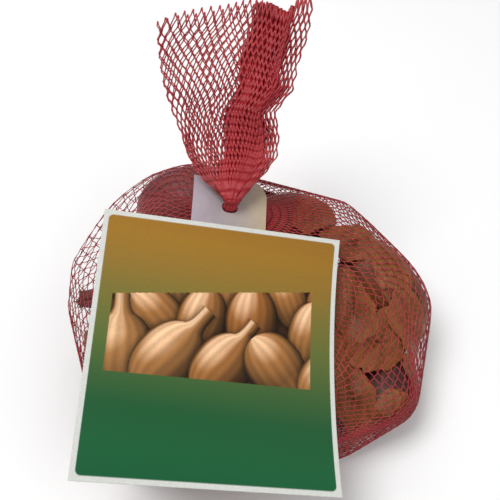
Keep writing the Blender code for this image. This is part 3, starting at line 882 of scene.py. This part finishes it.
def loose_skin(index, centre, facing, half_long, half_short, turn):
    n = np.array(facing) / np.linalg.norm(facing)
    e1 = np.cross((0.0, 0.3, 1.0), n)
    e1 = e1 / np.linalg.norm(e1)
    e2 = np.cross(n, e1)
    a = math.radians(turn)
    e1, e2 = e1 * math.cos(a) + e2 * math.sin(a), e2 * math.cos(a) - e1 * math.sin(a)
    na, nr = 84, 18
    ang = np.linspace(0, 2 * math.pi, na, endpoint=False)
    edge = 0.95 + wave(ang, 900 + index, ((2, 0.10), (3, 0.09), (5, 0.05), (9, 0.035), (15, 0.022), (23, 0.014)))
    rho = np.linspace(0.05, 1.0, nr)[:, None]
    far = np.ones(na)
    for _ in range(3):
        X = half_long * rho * edge * far * np.cos(ang)
        Y = half_short * rho * edge * far * np.sin(ang)
        Q = np.array(centre) + X[..., None] * e1 + Y[..., None] * e2 + n * 30.0
        skin_d = np.full((nr, na), np.nan)
        bulb_d = np.full((nr, na), 60.0)
        for i in range(nr):
            for j in range(na):
                hit = surface.ray_cast(Vector(Q[i, j]), Vector(-n))
                if hit[0] is not None and hit[3] < 48.0:
                    skin_d[i, j] = hit[3]
                hit = bulbs_tree.ray_cast(Vector(Q[i, j]), Vector(-n))
                if hit[0] is not None:
                    bulb_d[i, j] = hit[3]
        bad = np.isnan(skin_d)
        if not bad.any():
            break
        ok = np.where(bad.any(0), np.maximum(bad.argmax(0) - 1, 1) / (nr - 1.0), 1.0)
        far = far * np.minimum(ok, np.minimum(np.roll(ok, 1), np.roll(ok, -1)))
    # a point still past the net's edge follows the ring inside it
    for i in range(1, nr):
        skin_d[i] = np.where(np.isnan(skin_d[i]), skin_d[i - 1], skin_d[i])
    room = np.maximum(bulb_d - skin_d, 0.0)
    most = np.maximum(room - 0.25, 0.3)
    sink = np.minimum(most, 3.4 + wave(ang, 940 + index, ((2, 0.8), (3, 0.6)))[None])
    for _ in range(16):
        ring = 0.25 * (np.roll(sink, 1, 1) + np.roll(sink, -1, 1))
        inner = np.vstack([sink[:1], sink[:-1]])
        outer = np.vstack([sink[1:], sink[-1:]])
        sink = np.minimum(ring + 0.25 * (inner + outer), most)
    sink = np.clip(sink + 0.18 * rho * wave(ang * 1.0, 970 + index, ((5, 1.0), (8, 0.7)))[None], 0.5, None)
    P = Q - n * (skin_d + sink)[..., None]
    P = settle(P + LABEL_N * 0.8) - LABEL_N * 0.8
    P[..., 2] = np.maximum(P[..., 2], 1.1)
    back = P - n * 0.16
    V = np.vstack([P.reshape(-1, 3), back.reshape(-1, 3)])
    faces = []
    m = nr * na
    for i in range(nr - 1):
        for j in range(na):
            k = (j + 1) % na
            faces.append((i * na + j, (i + 1) * na + j, (i + 1) * na + k, i * na + k))
            faces.append((m + i * na + j, m + i * na + k, m + (i + 1) * na + k, m + (i + 1) * na + j))
    o = (nr - 1) * na
    for j in range(na):
        k = (j + 1) % na
        faces.append((o + j, m + o + j, m + o + k, o + k))
    faces.append(tuple(range(na)))
    faces.append(tuple(m + j for j in reversed(range(na))))
    ob = mesh_object("loose_skin_%d" % (index + 1), (V - ORIGIN) * MM, faces)
    bm = bmesh.new()
    bm.from_mesh(ob.data)
    bmesh.ops.recalc_face_normals(bm, faces=bm.faces)
    bm.to_mesh(ob.data)
    bm.free()
    w = (Y / half_short).reshape(-1) * 0.9 + index
    lay = np.stack([0.5 + 0.5 * np.cos(w), 0.5 + 0.5 * np.sin(w), 0.5 + 0.5 * (X / half_long).reshape(-1)], -1)
    point_colours(ob, "lay", np.vstack([lay, lay]))
    tint = np.zeros((2 * m, 3))
    tint[:, 0] = np.tile(((0.35 + 0.65 * rho) * np.ones((1, na))).reshape(-1), 2)
    point_colours(ob, "tint", tint)
    return ob


for i, row in enumerate(LOOSE):
    ob = loose_skin(i, *row)
    ob.data.materials.append(skin_material("golden", 20 + i))
    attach(ob, "root")


# ------------------------------------------------------------ label
def label_point(u, v, c=0.0):
    a, b = (u - 0.5) * LABEL_W, (v - 0.5) * LABEL_H
    drawn = LABEL_BOW * np.clip(u, 0, 1) ** 3 * (1.0 - (2.0 * v - 1.0) ** 2)
    return on_label(a - drawn, b, c - label_dip(a, b))


def blend_colours(stops, x):
    pos = [s[0] for s in stops]
    return np.stack([np.interp(x, pos, [s[1][k] for s in stops]) for k in range(3)], -1)


WINDOW = (0.070, 0.893, 0.374, 0.664, 0.762)   # picture on the label: left, right, bottom, top at left and right


def picture(x, y):
    """A heap of pale shallots of our own arrangement; x and y in millimetres in the window."""
    col = np.zeros(x.shape + (3,)) + np.array(lin(54, 28, 12))
    rng = np.random.default_rng(11)
    heap = []
    for row, (yy, sc) in enumerate(((30.0, 1.15), (19.0, 1.35), (5.0, 1.5))):
        for k in range(-1, 5):
            cx = (k + 0.5 * (row % 2)) * 17.6 + rng.uniform(-2.5, 2.5) + 3.0
            cy = yy + rng.uniform(-2.0, 2.0)
            ang = rng.uniform(-0.9, 0.9) + (math.pi / 2 if rng.random() > 0.35 else -math.pi / 3)
            heap.append((cx, cy, ang, sc * rng.uniform(5.9, 7.0), sc * rng.uniform(7.6, 9.0), rng.uniform(0, 1)))
    for cx, cy, ang, r, half, tone in heap:
        dx, dy = x - cx, y - cy
        p = dx * math.cos(ang) + dy * math.sin(ang)
        q = -dx * math.sin(ang) + dy * math.cos(ang)
        t = p / half
        body = np.sqrt(np.clip(1 - np.abs(t) ** 2.3, 0, 1)) * r
        neck = 0.24 * r + 0.55 * r * np.exp(-((np.clip(t, 0.55, 3) - 0.55) / 0.33) ** 2)
        rad = np.where(t > 0.55, np.maximum(neck, body), body)
        rad = np.where((t > 1.55) | (t < -1), 0, rad)
        inside = rad > 1e-3
        s = np.where(inside, q / np.maximum(rad, 1e-3), 2)
        inside = inside & (np.abs(s) < 1)
        nz = np.sqrt(np.clip(1 - s * s, 0, 1))
        nq = s
        npx = np.where(t < 0.5, t * 0.8, 0.35)
        nx = npx * math.cos(ang) - nq * math.sin(ang)
        ny = npx * math.sin(ang) + nq * math.cos(ang)
        ln = np.sqrt(nx * nx + ny * ny + nz * nz) + 1e-6
        light = np.clip((nx * -0.35 + ny * 0.55 + nz * 0.76) / ln, 0, 1)
        vein = 0.5 + 0.5 * np.sin(np.arcsin(np.clip(s, -1, 1)) * 17 + tone * 9 + 0.7 * np.sin(t * 3))
        base = np.array(lin(176, 112, 54)) * (1 - tone * 0.35) + np.array(lin(206, 160, 104)) * tone * 0.35
        c = base * (0.07 + 1.0 * light[..., None] ** 1.7) * (0.80 + 0.26 * vein[..., None])
        tip = smooth_step(t, 0.7, 1.4)[..., None]
        c = c * (1 - 0.35 * tip * vein[..., None])
        shine = (np.clip(light - 0.80, 0, 1)[..., None] * 5.0) ** 1.5
        c = c + shine * np.array((0.46, 0.40, 0.30)) * (0.7 + 0.3 * vein[..., None])
        edge = smooth_step(np.abs(s), 0.86, 1.0)[..., None]
        c = c * (1 - 0.75 * edge)
        # shadow thrown on what lies behind
        near = np.clip(1 - (np.abs(q) - rad) / 1.6, 0, 1) * ((t < 1.6) & (t > -1.15))
        col = col * (1 - 0.45 * near[..., None])
        col = np.where(inside[..., None], c, col)
    return np.clip(col, 0, 1)


def label_colour(u, v):
    """Printed face: white margin, orange fading to green, a picture, no lettering, and a broad painted highlight over
    the upper middle.
    """
    ground = blend_colours(((0.0, lin(14, 86, 50)), (0.10, lin(18, 90, 50)), (0.25, lin(26, 84, 46)),
                            (0.36, lin(58, 92, 48)), (0.52, lin(92, 104, 50)), (0.66, lin(116, 107, 48)),
                            (0.78, lin(138, 108, 44)), (0.90, lin(150, 110, 38)), (1.0, lin(148, 104, 38))),
                           v + 0.05 * (u - 0.5))
    # painted highlight: the face is made up to 5% lighter over its upper middle, with no change at the bottom edge
    painted_highlight = 1 + 0.05 * np.sin(u * 3.1 + 0.4) * np.sin(v * 2.2)
    col = ground * painted_highlight[..., None]
    a, b = u * LABEL_W, v * LABEL_H
    l, r, bo, tl, tr = WINDOW
    to = tl + (tr - tl) * (u - l) / (r - l)
    inside = (u > l) & (u < r) & (v > bo) & (v < to)
    pic = picture((u - l) * LABEL_W, (v - bo) * LABEL_H)
    col = np.where(inside[..., None], pic, col)
    # margin with rounded inner corners
    m, rad = 1.6, 1.6
    dx = np.abs(a - LABEL_W / 2) - (LABEL_W / 2 - m - rad)
    dy = np.abs(b - LABEL_H / 2) - (LABEL_H / 2 - m - rad)
    d = np.hypot(np.maximum(dx, 0), np.maximum(dy, 0)) + np.minimum(np.maximum(dx, dy), 0) - rad
    white = smooth_step(d, -0.12, 0.12)[..., None]
    return col * (1 - white) + np.array(lin(204, 206, 200)) * white


def label_mesh():
    l, r, bo, tl, to = WINDOW
    e = 0.0008
    us = np.unique(np.r_[0, np.linspace(0, 0.06, 30), [l - e], np.linspace(l, r, 236),
                         [r + e], np.linspace(0.93, 1, 30)])
    vs = np.unique(np.r_[np.linspace(0, 0.08, 34), np.linspace(0.08, bo - e, 12), np.linspace(bo, to, 134),
                         np.linspace(to + e, 0.92, 12), np.linspace(0.92, 1, 34)])
    U, Vv = np.meshgrid(us, vs)
    front = label_point(U, Vv)
    col = label_colour(U, Vv)
    nv, nu = U.shape
    verts = front.reshape(-1, 3)
    idx = np.arange(nu * nv).reshape(nv, nu)
    quads = [np.stack([idx[:-1, :-1], idx[:-1, 1:], idx[1:, 1:], idx[1:, :-1]], -1).reshape(-1, 4)]
    # coarse back joined to the front by the cut edge
    rim = np.r_[idx[0, :], idx[1:, -1], idx[-1, -2::-1], idx[-2:0:-1, 0]]
    back = len(verts) + np.arange(len(rim))
    un, vn = U.reshape(-1)[rim], Vv.reshape(-1)[rim]
    verts = np.vstack([verts, label_point(un, vn, -LABEL_T)])
    k = len(rim)
    nxt = (np.arange(k) + 1) % k
    quads.append(np.stack([rim[nxt], rim, back, back[nxt]], -1))
    # back sheet: rings drawn in towards the middle
    rows = [back]
    for f in (0.75, 0.5, 0.25, 0.06):
        uu, vv = 0.5 + (un - 0.5) * f, 0.5 + (vn - 0.5) * f
        rows.append(len(verts) + np.arange(k))
        verts = np.vstack([verts, label_point(uu, vv, -LABEL_T)])
    for p, q in zip(rows, rows[1:]):
        quads.append(np.stack([p[nxt], p, q, q[nxt]], -1))
    quads = np.vstack(quads)
    faces = [tuple(int(x) for x in q) for q in quads] + [[int(x) for x in rows[-1]][::-1]]
    ob = mesh_object("card", (verts - ORIGIN) * MM, faces)
    rgb = np.zeros((len(verts), 3)) + np.array(lin(214, 212, 206))
    rgb[:nu * nv] = col.reshape(-1, 3)
    # the face colours carry the print together with the painted highlight
    point_colours(ob, "print_with_highlight", rgb)
    return ob


card = label_mesh()
n = Nodes("printed_card")
co = n.object_coords()
fibre = n.noise(co, 1400.0, 3.0, 0.6)
cloud = n.noise(co, 40.0, 2.0)
# card colour: the print with its painted highlight, flecked with darker fibres
print_and_highlight = n.mix(n.ramp(fibre, ((0.35, (0, 0, 0)), (0.7, (0.12, 0.12, 0.12)))), n.attribute("print_with_highlight"), lin(60, 60, 50))
n.set(Base_Color=print_and_highlight, Roughness=n.math("ADD", 0.30, n.math("MULTIPLY", fibre, 0.16)),
      Normal=n.bump(fibre, 0.12, 0.0001, n.bump(cloud, 0.10, 0.001)))
n.bsdf.inputs["Specular IOR Level"].default_value = 0.12
card.data.materials.append(n.mat)
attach(card, "root")
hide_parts("label_card")

# ------------------------------------------------------------ strap: the CAD piece, finished
n = Nodes("coated_strip")
co = n.object_coords()
sep = n.new("ShaderNodeSeparateXYZ")
n.link(co, sep.inputs[0])
across = n.math("ADD", n.math("MULTIPLY", sep.outputs[0], 1 / 0.0255), 0.75, clamp=True)
cloud = n.noise(co, 130.0, 3.0, 0.6)
fine = n.noise(co, 1500.0, 2.0)
# painted shading of the strap's curve: across its width the colour runs from lavender on the left through a darker
# middle to yellow on the right
base = n.ramp(across, ((0.0, lin(168, 156, 166)), (0.35, lin(158, 148, 152)), (0.7, lin(164, 152, 146)),
                       (1.0, lin(178, 160, 130))))
base = n.mix(n.ramp(cloud, ((0.35, (0, 0, 0)), (0.7, (0.30, 0.30, 0.30)))), base, lin(132, 120, 126))
n.set(Base_Color=base, Roughness=n.math("ADD", 0.32, n.math("MULTIPLY", cloud, 0.2)),
      Normal=n.bump(cloud, 0.35, 0.0015, n.bump(fine, 0.1, 0.0001)))
n.bsdf.inputs["Specular IOR Level"].default_value = 0.2
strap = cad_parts["label_strap"]
strap.data.materials.clear()
strap.data.materials.append(n.mat)

n = Nodes("crimped_metal")
co = n.object_coords()
scr = n.noise(n.scaled(co, (1, 14, 1)), 400.0, 3.0)
n.set(Base_Color=n.ramp(scr, ((0.3, lin(168, 170, 172)), (0.7, lin(206, 207, 208)))), Metallic=1.0,
      Roughness=n.math("ADD", 0.25, n.math("MULTIPLY", scr, 0.25)), Normal=n.bump(scr, 0.3, 0.0002))
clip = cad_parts["bottom_clip"]
clip.data.materials.clear()
clip.data.materials.append(n.mat)

# ------------------------------------------------------------ floor, light, camera
floor = mesh_object("floor", [(-3, -3, 0), (3, -3, 0), (3, 3, 0), (-3, 3, 0)], [(0, 1, 2, 3)])
n = Nodes("pale_floor")
co = n.object_coords()
soft = n.noise(co, 6.0, 2.0)
n.set(Base_Color=n.ramp(soft, ((0.3, (0.86, 0.86, 0.86)), (0.7, (0.88, 0.88, 0.88)))), Roughness=0.8)
n.bsdf.inputs["Specular IOR Level"].default_value = 0.1
floor.data.materials.append(n.mat)

world = bpy.data.worlds.new("studio") if bpy.context.scene.world is None else bpy.context.scene.world
bpy.context.scene.world = world
world.use_nodes = True
world.node_tree.nodes["Background"].inputs[0].default_value = (1, 1, 1, 1)
world.node_tree.nodes["Background"].inputs[1].default_value = 0.42


def area_light(name, at, size, power, target=(0.0, 0.0, 0.03)):
    data = bpy.data.lights.new(name, "AREA")
    data.shape = "DISK"
    data.size = size
    data.energy = power
    ob = bpy.data.objects.new(name, data)
    ob.location = at
    ob.rotation_euler = (Vector(target) - Vector(at)).to_track_quat("-Z", "Y").to_euler()
    bpy.context.scene.collection.objects.link(ob)
    return ob


area_light("key", (-0.30, -0.05, 0.85), 0.5, 5.2)
area_light("fill", (0.55, -0.35, 0.70), 0.7, 2.0)
area_light("back", (0.0, 0.8, 0.6), 0.6, 1.6)

cam_data = bpy.data.cameras.new("camera")
cam_data.lens = 50.66
cam_data.sensor_width = 36.0
cam_data.clip_start = 0.01
cam = bpy.data.objects.new("camera", cam_data)
cam.location = Vector(to_m((9.8, -110.813, 239.212)))
cam.rotation_euler = (math.radians(38.0), 0.0, 0.0)
bpy.context.scene.collection.objects.link(cam)
bpy.context.scene.camera = cam
bpy.context.scene.view_settings.view_transform = "Standard"
